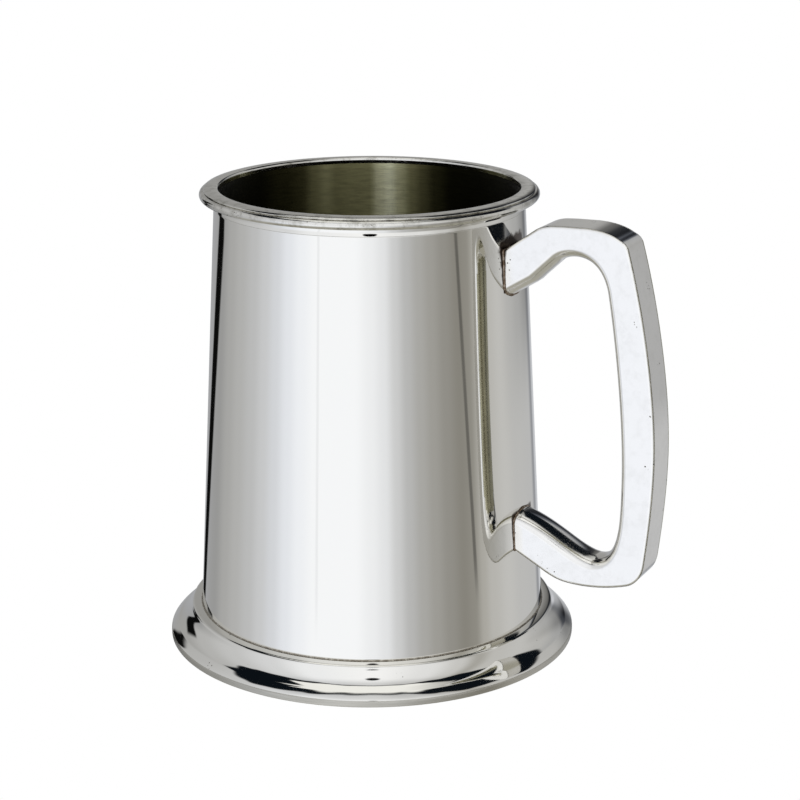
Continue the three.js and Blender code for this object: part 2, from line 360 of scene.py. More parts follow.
def make_floor_seam():
    """A small hollow fillet of solder between the floor and the drum's wall."""
    wall_foot = drum_radius(FLOOR_TOP) - WALL
    return turned("floor_seam", rounded([
        (wall_foot - 0.9, FLOOR_TOP + FILM, 0),
        (wall_foot - FILM, FLOOR_TOP + FILM, 0),
        (wall_foot - 0.08, FLOOR_TOP + 1.0, 0),
        (wall_foot - 0.4, FLOOR_TOP + 0.35, 0.25),
    ]))


# ---------------------------------------------------------------- handle

ARM_SWELL = 2.8                  # rounding of the arms towards the fingers, at mid width
GRIP_SWELL = 2.1                 # the same on the grip
SLICES = 16                      # strips across the handle's width
SOLDER_RUN = 0.36                # radius of the solder run round each root
# Solder stain and painted shade at each root: its lowest and highest place, and its reach at both
ROOT_STAINS_AND_SHADE = ((96.5, 108.0, 0.45, 2.4), (30.5, 38.6, 0.7, 1.2))


def handle_runs():
    """Outer and inner side of the handle seen from the side, each from drum to drum."""
    back = HANDLE_REACH
    top_z = HANDLE_TOP
    low_z = HANDLE_LOW
    # Outer side: the corner above the grip, the grip's widest place and the heel below it
    corner_x = back - 8.3
    corner_z = top_z - 4.1
    palm_z = (top_z + low_z) / 2 - 11.2
    heel_z = low_z + 7.5
    # Inner side: the grip's front, and the arms' sides towards the fingers
    inner_x = back - 7.2
    arm_under_z = top_z - 5.25
    arm_top_z = low_z + 4.35
    front_low_z = arm_top_z + 9.4
    front_top_z = arm_under_z - 9.8
    front_mid_z = between(front_low_z, palm_z, 0.69)
    # Roots: the heights at which each side meets the drum
    upper_z = top_z - 7.1
    upper_under_z = top_z - 16.4
    lower_z = low_z + 6.1
    lower_top_z = low_z + 13.1
    upper_x = drum_radius(upper_under_z)
    lower_x = drum_radius(lower_z)
    sink = 3.0                           # the roots run on into the drum before they are cut

    # Places along the arms, as shares of their spans: on and below the upper arm, on and
    # below the lower arm
    def crest(share):
        return between(upper_x, corner_x, share)

    def below(share):
        return between(upper_x, inner_x, share)

    def above(share):
        return between(lower_x, inner_x, share)

    def under(share):
        return between(lower_x, back, share)

    outer = [(upper_x - sink, upper_z - 0.7 * sink)]
    outer += straight(outer[-1], (crest(0.25), top_z - 1.45))
    outer += bend(outer[-1], (crest(0.3), top_z - 0.55), (crest(0.37), top_z - 0.3), 8)
    outer += straight(outer[-1], (crest(0.46), top_z - 0.12))
    outer += straight(outer[-1], (crest(0.63), top_z))
    outer += bend(outer[-1], (crest(0.82), top_z), (corner_x - 2.2, corner_z + 2))
    outer += bend(outer[-1], (corner_x - 0.6, corner_z + 1.4), (corner_x, corner_z), 8)
    outer += sweep(outer[-1], (corner_x + 4.6, between(corner_z, palm_z, 0.3)),
                   (back, between(corner_z, palm_z, 0.7)), (back, palm_z), 40)
    outer += sweep(outer[-1], (back, between(palm_z, heel_z, 0.38)),
                   (back - 1.1, between(palm_z, heel_z, 0.76)), (back - 1.9, heel_z), 30)
    outer += bend(outer[-1], (back - 2.7, low_z + 2.7), (back - 6.7, low_z + 1.6), 16)
    outer += bend(outer[-1], (under(0.58), low_z - 0.9), (under(0.36), low_z + 0.1))
    outer += bend(outer[-1], (under(0.28), low_z + 0.6), (under(0.19), low_z + 2.5))
    outer += straight(outer[-1], (lower_x, lower_z))
    outer += straight(outer[-1], (lower_x - sink, lower_z + 0.5 * sink))

    inner = [(lower_x - sink, lower_top_z)]
    inner += straight(inner[-1], (lower_x, lower_top_z))
    inner += sweep(inner[-1], (above(0.33), lower_top_z - 3), (above(0.5), arm_top_z + 0.2),
                   (above(0.71), arm_top_z), 28)
    inner += bend(inner[-1], (above(0.92), arm_top_z + 0.5), (above(0.975), front_low_z), 24)
    inner += sweep(inner[-1], (inner_x, between(front_low_z, front_mid_z, 0.25)),
                   (inner_x, between(front_low_z, front_mid_z, 0.7)), (inner_x, front_mid_z), 24)
    inner += sweep(inner[-1], (inner_x, between(front_mid_z, front_top_z, 0.35)),
                   (below(0.91), between(front_mid_z, front_top_z, 0.78)),
                   (below(0.85), front_top_z), 30)
    inner += sweep(inner[-1], (below(0.81), arm_under_z - 3.7), (below(0.7), arm_under_z - 0.2),
                   (below(0.54), arm_under_z), 24)
    inner += bend(inner[-1], (below(0.43), arm_under_z), (below(0.36), arm_under_z - 2))
    inner += straight(inner[-1], (below(0.18), upper_under_z + 3.6))
    inner += straight(inner[-1], (upper_x, upper_under_z))
    inner += straight(inner[-1], (upper_x - sink, upper_under_z - 0.6 * sink))
    return outer, inner


def swell_weight(vertex, half_width):
    """How far a vertex of the handle's inner side swells, as a share of the arms' swell."""
    across = min(abs(vertex.co.y) / half_width, 1.0)
    level = abs(vertex.normal.z) ** 2
    reach = between(GRIP_SWELL, ARM_SWELL, level) / ARM_SWELL
    return reach * math.sqrt(1 - across ** 2)


def make_handle():
    outer, inner = handle_runs()
    loop = [(AXIS_X + x, z) for x, z in outer + inner]
    piece = trace("handle_bar", loop + loop[:1], -HALF_WIDTH)
    weld()
    # The side view is drawn out across the width, in strips that narrow towards both faces
    stops = [-HALF_WIDTH * math.cos(math.pi * step / SLICES) for step in range(SLICES + 1)]
    for start, end in zip(stops, stops[1:]):
        step = (0, (end - start) * MM, 0)
        bpy.ops.mesh.extrude_region_move(TRANSFORM_OT_translate={"value": step})
    half = HALF_WIDTH * MM
    for side in (-half, half):
        pick(piece, "EDGE", lambda edge: all(abs(v.co.y - side) < MERGE for v in edge.verts))
        bpy.ops.mesh.edge_face_add()
    bpy.ops.mesh.select_all(action="SELECT")
    bpy.ops.mesh.normals_make_consistent(inside=False)
    bpy.ops.object.mode_set(mode="OBJECT")

    # Rounding towards the fingers, on the vertices that lie on the inner outline
    match = 0.02
    places = [(AXIS_X + x, z) for x, z in inner]
    group = piece.vertex_groups.new(name="inner_side")
    for vertex in piece.data.vertices:
        place = (vertex.co.x / MM, vertex.co.z / MM)
        if min(math.dist(place, other) for other in places) < match:
            group.add([vertex.index], swell_weight(vertex, half), "REPLACE")
    swell = piece.modifiers.new("swell", "DISPLACE")
    swell.direction = "NORMAL"
    swell.strength = ARM_SWELL * MM
    swell.mid_level = 0.0
    swell.vertex_group = group.name
    bpy.ops.object.modifier_apply(modifier=swell.name)

    cut_to_drum(piece)

    # Softened edges of the outer side, with a narrow strip to keep the flat faces flat
    softening = 0.6
    strip = 0.15
    square_edge = math.radians(60)

    def outer_edge(edge):
        on_side = all(abs(abs(v.co.y) - half) < MERGE for v in edge.verts)
        at_root = all(on_drum(v.co) for v in edge.verts)
        return on_side and not at_root and edge.calc_face_angle(0) > square_edge

    bpy.ops.object.mode_set(mode="EDIT")
    pick(piece, "EDGE", outer_edge)
    bpy.ops.mesh.bevel(offset=softening * MM, segments=4, affect="EDGES")
    pick(piece, "FACE", lambda face: len(face.verts) > 50)
    bpy.ops.mesh.inset(thickness=strip * MM)
    bpy.ops.object.mode_set(mode="OBJECT")
    piece.vertex_groups.clear()
    bpy.ops.object.shade_smooth_by_angle(angle=CREASE)
    return piece


def cut_to_drum(piece):
    """Saddles both roots of the handle to the drum."""
    low = SEAT_Z
    bpy.ops.object.select_all(action="DESELECT")
    bpy.ops.mesh.primitive_cone_add(
        vertices=AROUND, radius1=(drum_radius(low) + FILM) * MM,
        radius2=(drum_radius(HEIGHT) + FILM) * MM, depth=(HEIGHT - low) * MM,
        location=(AXIS_X * MM, 0, (HEIGHT + low) / 2 * MM))
    block = bpy.context.active_object
    only(piece)
    cut = piece.modifiers.new("saddle", "BOOLEAN")
    cut.operation = "DIFFERENCE"
    cut.solver = "EXACT"
    cut.object = block
    bpy.ops.object.modifier_apply(modifier=cut.name)
    bpy.data.objects.remove(block)
    only(piece)


def on_drum(point, allowance=0.06):
    """Whether a place of the handle, in metres, lies on the drum's side."""
    radius = math.hypot(point.x / MM - AXIS_X, point.y / MM)
    return abs(radius - drum_radius(point.z / MM) - FILM) < allowance


def root_outline(bar, upper):
    """The closed line, in order, where one root of the handle meets the drum."""
    mesh = bmesh.new()
    mesh.from_mesh(bar.data)
    middle = HEIGHT / 2 * MM
    cap = {face for face in mesh.faces
           if all(on_drum(v.co) for v in face.verts)
           and (face.verts[0].co.z > middle) == upper}
    rim = [edge for edge in mesh.edges
           if sum(face in cap for face in edge.link_faces) == 1]
    neighbours = {}
    for edge in rim:
        first, second = edge.verts
        neighbours.setdefault(first, []).append(second)
        neighbours.setdefault(second, []).append(first)
    # It starts at its highest place and goes down from there, so every run is the same
    start = max(neighbours, key=lambda v: (round(v.co.z / MM, 3), round(v.co.y / MM, 3)))
    outline = [start.co.copy()]
    previous, current = start, min(neighbours[start], key=lambda v: v.co.z)
    while current is not start:
        outline.append(current.co.copy())
        ahead = [v for v in neighbours[current] if v is not previous]
        previous, current = current, ahead[0]
    mesh.free()
    return outline


def make_root_bead(name, bar, upper):
    """A bead of solder run round one root of the handle, where it meets the drum."""
    outline = root_outline(bar, upper)
    bpy.ops.object.select_all(action="DESELECT")
    path = bpy.data.curves.new(name, "CURVE")
    path.dimensions = "3D"
    run = path.splines.new("POLY")
    run.points.add(len(outline) - 1)
    for point, place in zip(run.points, outline):
        point.co = (*place, 1)
        point.radius = 1 + 0.25 * math.sin(place.z / MM * 2.1) * math.cos(place.y / MM * 1.7)
    run.use_cyclic_u = True
    path.bevel_depth = SOLDER_RUN * MM
    path.bevel_resolution = 3
    bead = bpy.data.objects.new(name, path)
    bpy.context.scene.collection.objects.link(bead)
    only(bead)
    bpy.ops.object.convert(target="MESH")
    bead = bpy.context.active_object
    bead.name = bead.data.name = name
    bpy.ops.object.shade_smooth()
    return bead


# ---------------------------------------------------------------- finishes


def link(tree, value, socket):
    """Feeds a socket with another node's output, or sets it to a number or colour."""
    if isinstance(value, bpy.types.NodeSocket):
        tree.links.new(value, socket)
    else:
        socket.default_value = value


def calc(tree, operation, *values):
    node = tree.nodes.new("ShaderNodeMath")
    node.operation = operation
    for value, socket in zip(values, node.inputs):
        link(tree, value, socket)
    return node.outputs[0]


def spread(tree, value, low, high, out_low=0.0, out_high=1.0, smooth=True):
    """Maps a range of values to another, held at both ends."""
    node = tree.nodes.new("ShaderNodeMapRange")
    node.interpolation_type = "SMOOTHSTEP" if smooth else "LINEAR"
    for setting, socket in zip((value, low, high, out_low, out_high), node.inputs):
        link(tree, setting, socket)
    return node.outputs[0]


def length(tree, *parts):
    """Square root of the sum of the squares."""
    total = calc(tree, "POWER", parts[0], 2.0)
    for part in parts[1:]:
        total = calc(tree, "ADD", total, calc(tree, "POWER", part, 2.0))
    return calc(tree, "SQRT", total)


def split(tree, vector):
    """The three parts of a vector, by the letters X, Y and Z."""
    node = tree.nodes.new("ShaderNodeSeparateXYZ")
    link(tree, vector, node.inputs["Vector"])
    return node.outputs


def noise(tree, vector, scale, detail=2.0, roughness=0.5):
    """Cloudy noise; the scale is in bumps per metre, more or less."""
    node = tree.nodes.new("ShaderNodeTexNoise")
    link(tree, vector, node.inputs["Vector"])
    link(tree, scale, node.inputs["Scale"])
    node.inputs["Detail"].default_value = detail
    node.inputs["Roughness"].default_value = roughness
    return node.outputs["Fac"]


def blend_colors(tree, share, first, second):
    node = tree.nodes.new("ShaderNodeMix")
    node.data_type = "RGBA"
    link(tree, share, node.inputs["Factor"])
    link(tree, first, node.inputs["A"])
    link(tree, second, node.inputs["B"])
    return node.outputs["Result"]


def tankard_place(tree):
    """Object coordinates with the drum's axis at x = 0."""
    place = tree.nodes.new("ShaderNodeTexCoord")
    shift = tree.nodes.new("ShaderNodeMapping")
    shift.inputs["Location"].default_value = (-AXIS_X * MM, 0, 0)
    tree.links.new(place.outputs["Object"], shift.inputs["Vector"])
    return shift.outputs["Vector"]


def new_group(name, inputs, outputs):
    """A node group with float inputs and outputs, and its two end nodes."""
    group = bpy.data.node_groups.new(name, "ShaderNodeTree")
    for label, value in inputs.items():
        socket = group.interface.new_socket(label, in_out="INPUT", socket_type="NodeSocketFloat")
        socket.default_value = value
    for label in outputs:
        group.interface.new_socket(label, in_out="OUTPUT", socket_type="NodeSocketFloat")
    source = group.nodes.new("NodeGroupInput")
    sink = group.nodes.new("NodeGroupOutput")
    return group, source.outputs, sink.inputs


def make_hand_polish():
    """Soft unevenness left by buffing: hazy patches, hairlines and a slow ripple."""
    group, given, result = new_group(
        "hand_polish", {"Haze": 0.03, "Hairlines": 0.3}, ("Roughness", "Ripple"))
    place = tankard_place(group)
    patches = noise(group, place, scale=55.0, detail=3.0)
    # Hairlines are noise drawn out along a slanting direction
    slanted = group.nodes.new("ShaderNodeMapping")
    slanted.inputs["Scale"].default_value = (1, 1, 0.06)
    slanted.inputs["Rotation"].default_value = (0.5, 0.3, 0.2)
    link(group, place, slanted.inputs["Vector"])
    hairs = noise(group, slanted.outputs["Vector"], scale=2600.0, detail=3.0, roughness=0.7)
    hairlines = calc(group, "MULTIPLY", spread(group, hairs, 0.62, 0.8), given["Hairlines"])
    haze = calc(group, "MULTIPLY", spread(group, patches, 0.35, 0.75), given["Haze"])
    rough = calc(group, "ADD", haze, calc(group, "MULTIPLY", hairlines, 0.12))
    link(group, rough, result["Roughness"])
    link(group, noise(group, place, scale=38.0, detail=1.0), result["Ripple"])
    return group


def root_distance(tree):
    """Distance from the nearer root of the handle, 1 at the edge of the stain and painted shade
    there.
    """
    place = split(tree, tankard_place(tree))
    beside = calc(tree, "SUBTRACT", calc(tree, "ABSOLUTE", place["Y"]), HALF_WIDTH * MM)
    beside = calc(tree, "MAXIMUM", beside, 0.0)
    # Off the drum's side, along the handle, the stain ends sooner
    slope = (DRUM_LIP_RADIUS - DRUM_FOOT_RADIUS) / (COLLAR_Z - SEAT_Z)
    side = calc(tree, "ADD", drum_radius(0) * MM, calc(tree, "MULTIPLY", place["Z"], slope))
    off_side = calc(tree, "SUBTRACT", length(tree, place["X"], place["Y"]), side)
    off_side = calc(tree, "MULTIPLY", calc(tree, "MAXIMUM", off_side, 0.0), 2.2)
    nearest = None
    for low, high, low_reach, high_reach in ROOT_STAINS_AND_SHADE:
        middle = (low + high) / 2
        upright = calc(tree, "ABSOLUTE", calc(tree, "SUBTRACT", place["Z"], middle * MM))
        upright = calc(tree, "SUBTRACT", upright, (high - low) / 2 * MM)
        upright = calc(tree, "MAXIMUM", upright, 0.0)
        reach = spread(tree, place["Z"], low * MM, high * MM,
                       low_reach * MM, high_reach * MM, smooth=False)
        gap = calc(tree, "DIVIDE", length(tree, off_side, beside, upright), reach)
        nearest = gap if nearest is None else calc(tree, "MINIMUM", nearest, gap)
    # Nothing on the drum's other half
    behind = calc(tree, "LESS_THAN", place["X"], 0.0)
    return calc(tree, "ADD", nearest, calc(tree, "MULTIPLY", behind, 100.0))


def make_casting_pits():
    """Pinholes of mixed sizes: a few in clusters, and many close to the roots."""
    group, given, result = new_group(
        "casting_pits", {"Scale": 1500.0, "Size": 0.2, "Cover": 0.3, "Near roots": 0.0}, ("Mask",))
    place = tankard_place(group)
    cells = group.nodes.new("ShaderNodeTexVoronoi")
    cells.feature = "F1"
    link(group, place, cells.inputs["Vector"])
    link(group, given["Scale"], cells.inputs["Scale"])
    uneven = noise(group, place, scale=2600.0, detail=3.0, roughness=0.7)
    size = calc(group, "MULTIPLY", given["Size"], calc(group, "MULTIPLY", uneven, 2.2))
    inside = calc(group, "SUBTRACT", cells.outputs["Distance"], size)
    hole = spread(group, inside, -0.05, 0.05, 1.0, 0.0)
    # Half of the cells get a pinhole
    cell_color = group.nodes.new("ShaderNodeSeparateColor")
    link(group, cells.outputs["Color"], cell_color.inputs["Color"])
    hole = calc(group, "MULTIPLY", hole, calc(group, "GREATER_THAN", cell_color.outputs["Red"], 0.5))
    # And those only where the clusters or the roots are
    clusters = noise(group, place, scale=170.0, detail=3.0, roughness=0.6)
    few = calc(group, "GREATER_THAN", clusters, calc(group, "SUBTRACT", 1.0, given["Cover"]))
    near = spread(group, root_distance(group), 1.0, 4.5, 0.62, 0.3)
    near = calc(group, "MULTIPLY", near, given["Near roots"])
    cover = calc(group, "MAXIMUM", few, calc(group, "GREATER_THAN", near, clusters))
    link(group, calc(group, "MULTIPLY", hole, cover), result["Mask"])
    return group


def make_flux_stain_and_shade():
    """Brown and black solder stain, with painted shade and painted reflection where the handle meets
    the drum, wider towards the top of each root.
    """
    group, given, result = new_group("flux_stain_and_shade", {"Strength": 1.0}, ("Mask",))
    blotch = noise(group, tankard_place(group), scale=380.0, detail=4.0, roughness=0.65)
    raggedness = calc(group, "MULTIPLY", calc(group, "SUBTRACT", blotch, 0.5), 1.4)
    ragged = calc(group, "ADD", root_distance(group), raggedness)
    stain_and_shade = spread(group, ragged, 0.45, 1.05, 1.0, 0.0)
    link(group, calc(group, "MULTIPLY", stain_and_shade, given["Strength"]), result["Mask"])
    return group


def make_turning_lines():
    """Fine lines left by turning, the same all the way round, with short breaks."""
    group, given, result = new_group(
        "turning_lines", {"Lines per metre": 4000.0, "Drift": 6.0}, ("Lines", "Broad"))
    place = split(group, tankard_place(group))
    radius = length(group, place["X"], place["Y"])
    turn = calc(group, "ARCTAN2", place["Y"], place["X"])
    node = group.nodes.new("ShaderNodeCombineXYZ")
    link(group, calc(group, "MULTIPLY", radius, given["Lines per metre"]), node.inputs["X"])
    link(group, calc(group, "MULTIPLY", turn, given["Drift"]), node.inputs["Y"])
    link(group, calc(group, "MULTIPLY", place["Z"], given["Lines per metre"]), node.inputs["Z"])
    unrolled = node.outputs["Vector"]
    lines = noise(group, unrolled, scale=1.0, detail=4.0, roughness=0.65)
    link(group, lines, result["Lines"])
    link(group, noise(group, unrolled, scale=0.12), result["Broad"])
    return group


def use_group(tree, group, **values):
    node = tree.nodes.new("ShaderNodeGroup")
    node.node_tree = group
    for label, value in values.items():
        node.inputs[label.replace("_", " ")].default_value = value
    return node.outputs


def metal(name):
    """A bare metal: its node tree and shader."""
    material = bpy.data.materials.new(name)
    material.use_nodes = True
    tree = material.node_tree
    shader = tree.nodes["Principled BSDF"]
    shader.inputs["Metallic"].default_value = 1.0
    return material, tree, shader


def raise_bump(tree, shader, height, distance):
    """Raises the surface by a height times a distance in metres."""
    bump = tree.nodes.new("ShaderNodeBump")
    bump.inputs["Strength"].default_value = 1.0
    bump.inputs["Distance"].default_value = distance
    link(tree, height, bump.inputs["Height"])
    tree.links.new(bump.outputs["Normal"], shader.inputs["Normal"])


# Colours of clean, pale, rim and dulled pewter, of the dirt in pinholes and of burnt flux with
# painted shade at the roots
PEWTER = (0.84, 0.83, 0.79, 1)
PALE_PEWTER = (0.885, 0.875, 0.845, 1)
RIM_PEWTER = (0.77, 0.76, 0.72, 1)
DULL_PEWTER = (0.45, 0.44, 0.395, 1)
DIRT = (0.10, 0.08, 0.06, 1)
SCORCH_AND_SHADE = (0.075, 0.055, 0.04, 1)
BLACK = (0, 0, 0, 1)
WHITE = (1, 1, 1, 1)

# The inside's painted highlights and painted shade: bright upright streaks placed from this angle
# round the axis, in degrees, and each stop gives degrees from there and brightness
PAINTED_HIGHLIGHTS_FROM = 118
PAINTED_HIGHLIGHT_STOPS = (
    (-180, .01), (-75, .01), (-50, .012), (-36, .05), (-28, .09), (-23, .26), (-18, .38),
    (-13, .27), (-6, .30), (0, .33), (4, .80), (8, 1.0), (12.5, .60), (17, .27), (22, .13),
    (27, .045), (35, .012), (75, .01), (180, .01),
)

hand_polish = make_hand_polish()
flux_stain_and_shade = make_flux_stain_and_shade()
casting_pits = make_casting_pits()
turning_lines = make_turning_lines()


def mirror_finish(name, haze, hairlines, pit_cover, ripple, base, near_roots=0.0, stain_and_shade=1.0,
                  dulled=0.0, color=PEWTER):
    """Buffed pewter: nearly a mirror, with haze, hairlines, a few pinholes and solder stain with
    painted shade at the roots.
    """
    material, tree, shader = metal(name)
    polish = use_group(tree, hand_polish, Haze=haze, Hairlines=hairlines)
    pits = use_group(tree, casting_pits, Cover=pit_cover, Near_roots=near_roots)["Mask"]
    stain_and_shade_mask = use_group(tree, flux_stain_and_shade, Strength=stain_and_shade)["Mask"]
    cloud = noise(tree, tankard_place(tree), scale=320.0, detail=4.0, roughness=0.65)
    patches = spread(tree, cloud, 0.45, 0.7)

    worn = blend_colors(tree, calc(tree, "MULTIPLY", patches, dulled), color, DULL_PEWTER)
    # Burnt flux at the roots, darkened further as painted shade where the handle meets the drum
    stained_and_shaded = blend_colors(tree, stain_and_shade_mask, worn, SCORCH_AND_SHADE)
    link(tree, blend_colors(tree, pits, stained_and_shaded, DIRT), shader.inputs["Base Color"])

    rough = calc(tree, "ADD", polish["Roughness"], base)
    for mask, amount in ((patches, 0.1 * dulled), (stain_and_shade_mask, 0.25), (pits, 0.3)):
        rough = calc(tree, "ADD", rough, calc(tree, "MULTIPLY", mask, amount))
    link(tree, rough, shader.inputs["Roughness"])

    height = calc(tree, "SUBTRACT", polish["Ripple"], calc(tree, "MULTIPLY", pits, 0.4))
    raise_bump(tree, shader, height, ripple)
    return material


def satin_finish(name, color, roughness, depth, lines):
    """Turned and left satin: fine lines round the axis over a dull metal."""
    material, tree, shader = metal(name)
    turned_marks = use_group(tree, turning_lines, Lines_per_metre=lines, Drift=5.0)
    shade = spread(tree, turned_marks["Broad"], 0.3, 0.7)
    dark = tuple(0.8 * part for part in color[:3]) + (1,)
    link(tree, blend_colors(tree, shade, dark, color), shader.inputs["Base Color"])
    link(tree, spread(tree, turned_marks["Lines"], 0.3, 0.7, roughness - 0.06, roughness + 0.08),
         shader.inputs["Roughness"])
    raise_bump(tree, shader, turned_marks["Lines"], depth)
    brush_round(tree, shader)
    return material


def inside_finish_with_painted_highlights(name):
    """Brushed inside, coloured by the angle round the axis as painted shade, nearly black to the
    sides, and painted highlights in upright streaks.
    """
    material, tree, shader = metal(name)
    turned_marks = use_group(tree, turning_lines, Lines_per_metre=2600.0, Drift=9.0)
    facing = tree.nodes.new("ShaderNodeMapping")
    facing.inputs["Rotation"].default_value = (0, 0, math.radians(-PAINTED_HIGHLIGHTS_FROM))
    link(tree, tankard_place(tree), facing.inputs["Vector"])
    place = split(tree, facing.outputs["Vector"])
    turn = calc(tree, "DEGREES", calc(tree, "ARCTAN2", place["Y"], place["X"]))
    # Painted shade is olive, and painted highlights nearly grey
    stops = [(at, (tone, tone * between(0.93, 1.0, tone), tone * between(0.38, 0.70, tone)))
             for at, tone in PAINTED_HIGHLIGHT_STOPS]
    painted_highlights = round_ramp(tree, calc(tree, "MULTIPLY", turn, -1.0), stops)
    brushed = spread(tree, turned_marks["Lines"], 0.3, 0.7, 0.8, 1.0)
    link(tree, blend_colors(tree, brushed, BLACK, painted_highlights), shader.inputs["Base Color"])
    link(tree, spread(tree, turned_marks["Lines"], 0.3, 0.7, 0.38, 0.5),
         shader.inputs["Roughness"])
    raise_bump(tree, shader, turned_marks["Lines"], 0.00002)
    brush_round(tree, shader)
    return material


def brush_round(tree, shader):
    """Stretches the highlights across brushing that runs round the axis."""
    shader.inputs["Anisotropic"].default_value = 0.85
    shader.inputs["Anisotropic Rotation"].default_value = 0.25
    round_axis = tree.nodes.new("ShaderNodeTangent")
    round_axis.direction_type = "RADIAL"
    round_axis.axis = "Z"
    tree.links.new(round_axis.outputs["Tangent"], shader.inputs["Tangent"])


def solder_finish(name, dark, light):
    """Lumpy solder, brighter where it is smooth."""
    material, tree, shader = metal(name)
    patches = noise(tree, tankard_place(tree), scale=900.0, detail=5.0, roughness=0.7)
    link(tree, blend_colors(tree, spread(tree, patches, 0.4, 0.7), dark, light),
         shader.inputs["Base Color"])
    link(tree, spread(tree, patches, 0.3, 0.7, 0.5, 0.25), shader.inputs["Roughness"])
    raise_bump(tree, shader, patches, 0.0002)
    return material


def finish_with(piece, material):
    piece.data.materials.clear()
    piece.data.materials.append(material)


def second_finish(piece, material, test):
    """Gives the faces for which the test is true a second finish."""
    piece.data.materials.append(material)
    for face in piece.data.polygons:
        if test(face):
            face.material_index = 1


def looks_inward(face):
    """Whether a face of the drum looks towards its axis."""
    out_x = face.center.x - AXIS_X * MM
    out_y = face.center.y
    inward = face.normal.x * out_x + face.normal.y * out_y
    return inward < -0.5 * math.hypot(out_x, out_y)


def on_grip_towards_drum(face):
    """Whether a face of the handle is on the grip's side towards the drum."""
    middle_x = (bar_low.x + bar_high.x) / 2
    return face.normal.x < -0.88 and face.center.x > middle_x * MM


def on_collar(face):
    """Whether a face of the lip is on the collar, under the bead."""
    return face.center.z < (COLLAR_Z + COLLAR_HEIGHT - 0.3) * MM


def on_foot_edge(face):
    """Whether a face of the foot is on its upright edge or its underside."""
    edge_top = 1.62
    return face.center.z < edge_top * MM or face.normal.z < -0.3


# ---------------------------------------------------------------- studio and camera


VIEW_AROUND = 28                 # degrees; where the camera stands round the tankard


def round_ramp(tree, turn, stops):
    """Tones by the way round: stops are (degrees from -180 to 180, brightness or colour)."""
    node = tree.nodes.new("ShaderNodeValToRGB")
    ramp_stops = node.color_ramp.elements
    node.color_ramp.interpolation = "EASE"
    while len(ramp_stops) < len(stops):
        ramp_stops.new(0.5)
    for stop, (degrees, tone) in zip(ramp_stops, stops):
        stop.position = (degrees + 180) / 360
    for stop, (degrees, tone) in zip(ramp_stops, stops):
        shade = tone if isinstance(tone, tuple) else (tone, tone, tone)
        stop.color = (*shade, 1)
    share = calc(tree, "ADD", calc(tree, "DIVIDE", turn, 360.0), 0.5)
    link(tree, share, node.inputs["Fac"])
    return node.outputs["Color"]


def degrees_ramp(tree, turn, stops, most):
    """The same for angles up to the given one, because a ramp holds only numbers up to 1."""
    shares = [(degrees, angle / most) for degrees, angle in stops]
    return calc(tree, "MULTIPLY", round_ramp(tree, turn, shares), float(most))


def wall_ramp(tree, turn, stops):
    """A wall's tones round the horizon: stops are (degrees, brightness, share of blue)."""
    return round_ramp(tree, turn, [
        (place, (tone, tone * (0.72 + 0.28 * blue), tone * blue)) for place, tone, blue in stops])


# Tones of the tent's walls, by degrees round from the camera's side, + to its right
LOW_WALL = (
    (-180, .40, 1.06), (-158, .39, 1.06), (-133, .36, 1.03), (-118, .45, 1.02),
    (-105, .51, 1.03), (-91, .58, 1.06), (-80, .67, 1.08), (-70, .76, 1.12), (-60, .90, 1.13),
    (-50, 1.01, 1.11), (-38, 1.09, 1.08), (-12, 1.09, 1.08), (0, 1.0, 1.08), (9, .90, 1.08),
    (17, .705, 1.06), (25, .555, 1.04), (34, .465, .99), (43, .40, .95), (53, .335, .92),
    (64, .285, .88), (72, .315, .89), (80, .47, .93), (88, .55, .97), (105, .61, 1.0),
    (120, .57, 1.02), (146, .54, 1.03), (154, .30, 1.12), (163, .60, 1.08), (180, .42, 1.04),
)
HIGH_WALL = (
    (-180, .37, .98), (-168, .34, .98), (-148, .40, 1.0), (-125, .52, 1.02), (-95, .62, 1.04),
    (-65, .76, 1.06), (-40, .98, 1.06), (0, 1.06, 1.04), (35, .86, 1.03), (55, .66, 1.0),
    (68, .44, .93), (80, .58, .98), (100, .60, 1.0), (125, .53, 1.0), (146, .42, 1.04),
    (151, .10, 1.3), (156, .015, 1.3), (162, .03, 1.2), (168, .14, .98), (173, .42, .98),
    (180, .37, .98),
)
# The dark gap between the walls and the overhead softbox: its height and half its width
GAP_HEIGHT = (
    (-180, 42), (-150, 47), (-112, 55), (-96, 57), (-84, 56), (-60, 64), (-30, 71), (0, 73),
    (30, 71), (56, 64), (72, 58), (84, 56), (96, 52), (105, 49.5), (124, 49.5), (145, 54),
    (160, 50), (180, 42),
)
GAP_WIDTH = (
    (-180, 4.0), (-150, 6), (-118, 8), (-102, 13), (-92, 11), (-80, 5), (-60, 2.6), (-44, 1.4),
    (0, 0.8), (38, 1.0), (58, 4), (70, 8.5), (90, 10), (96, 14), (105, 18), (124, 18), (145, 17),
    (154, 12), (164, 4), (180, 3.5),
)
# How far the softbox is dimmed low down, and the walls near the horizon, by degrees round
BOX_SHADE = (
    (-180, .45), (-150, .1), (-60, 0), (50, 0), (85, .55), (125, .8), (160, .7), (180, .45),
)
WALL_SHADE = (
    (-180, 0), (100, 0), (116, .1), (130, .2), (150, .46), (160, .3), (172, 0), (180, 0),
)
# Where the lens looks through the tent: the rise of each hole, half its width and height in
# degrees, and where its soft edge starts and ends as a share of those
LENS_HOLES = ((47.5, 5.0, 5.0, 0.8, 1.2), (11.8, 5.2, 3.4, 0.85, 1.1))
TABLE_SHADE = (0.40, 0.39, 0.34, 1)
SOFTBOX = (1.0, 1.0, 0.98, 1)
DIM_SOFTBOX = (0.03, 0.03, 0.025, 1)
SEAM_COLOR = (0.02, 0.02, 0.02, 1)
GAP_COLOR = (0.004, 0.006, 0.009, 1)
UPRIGHT_GAP_COLOR = (0.004, 0.004, 0.004, 1)


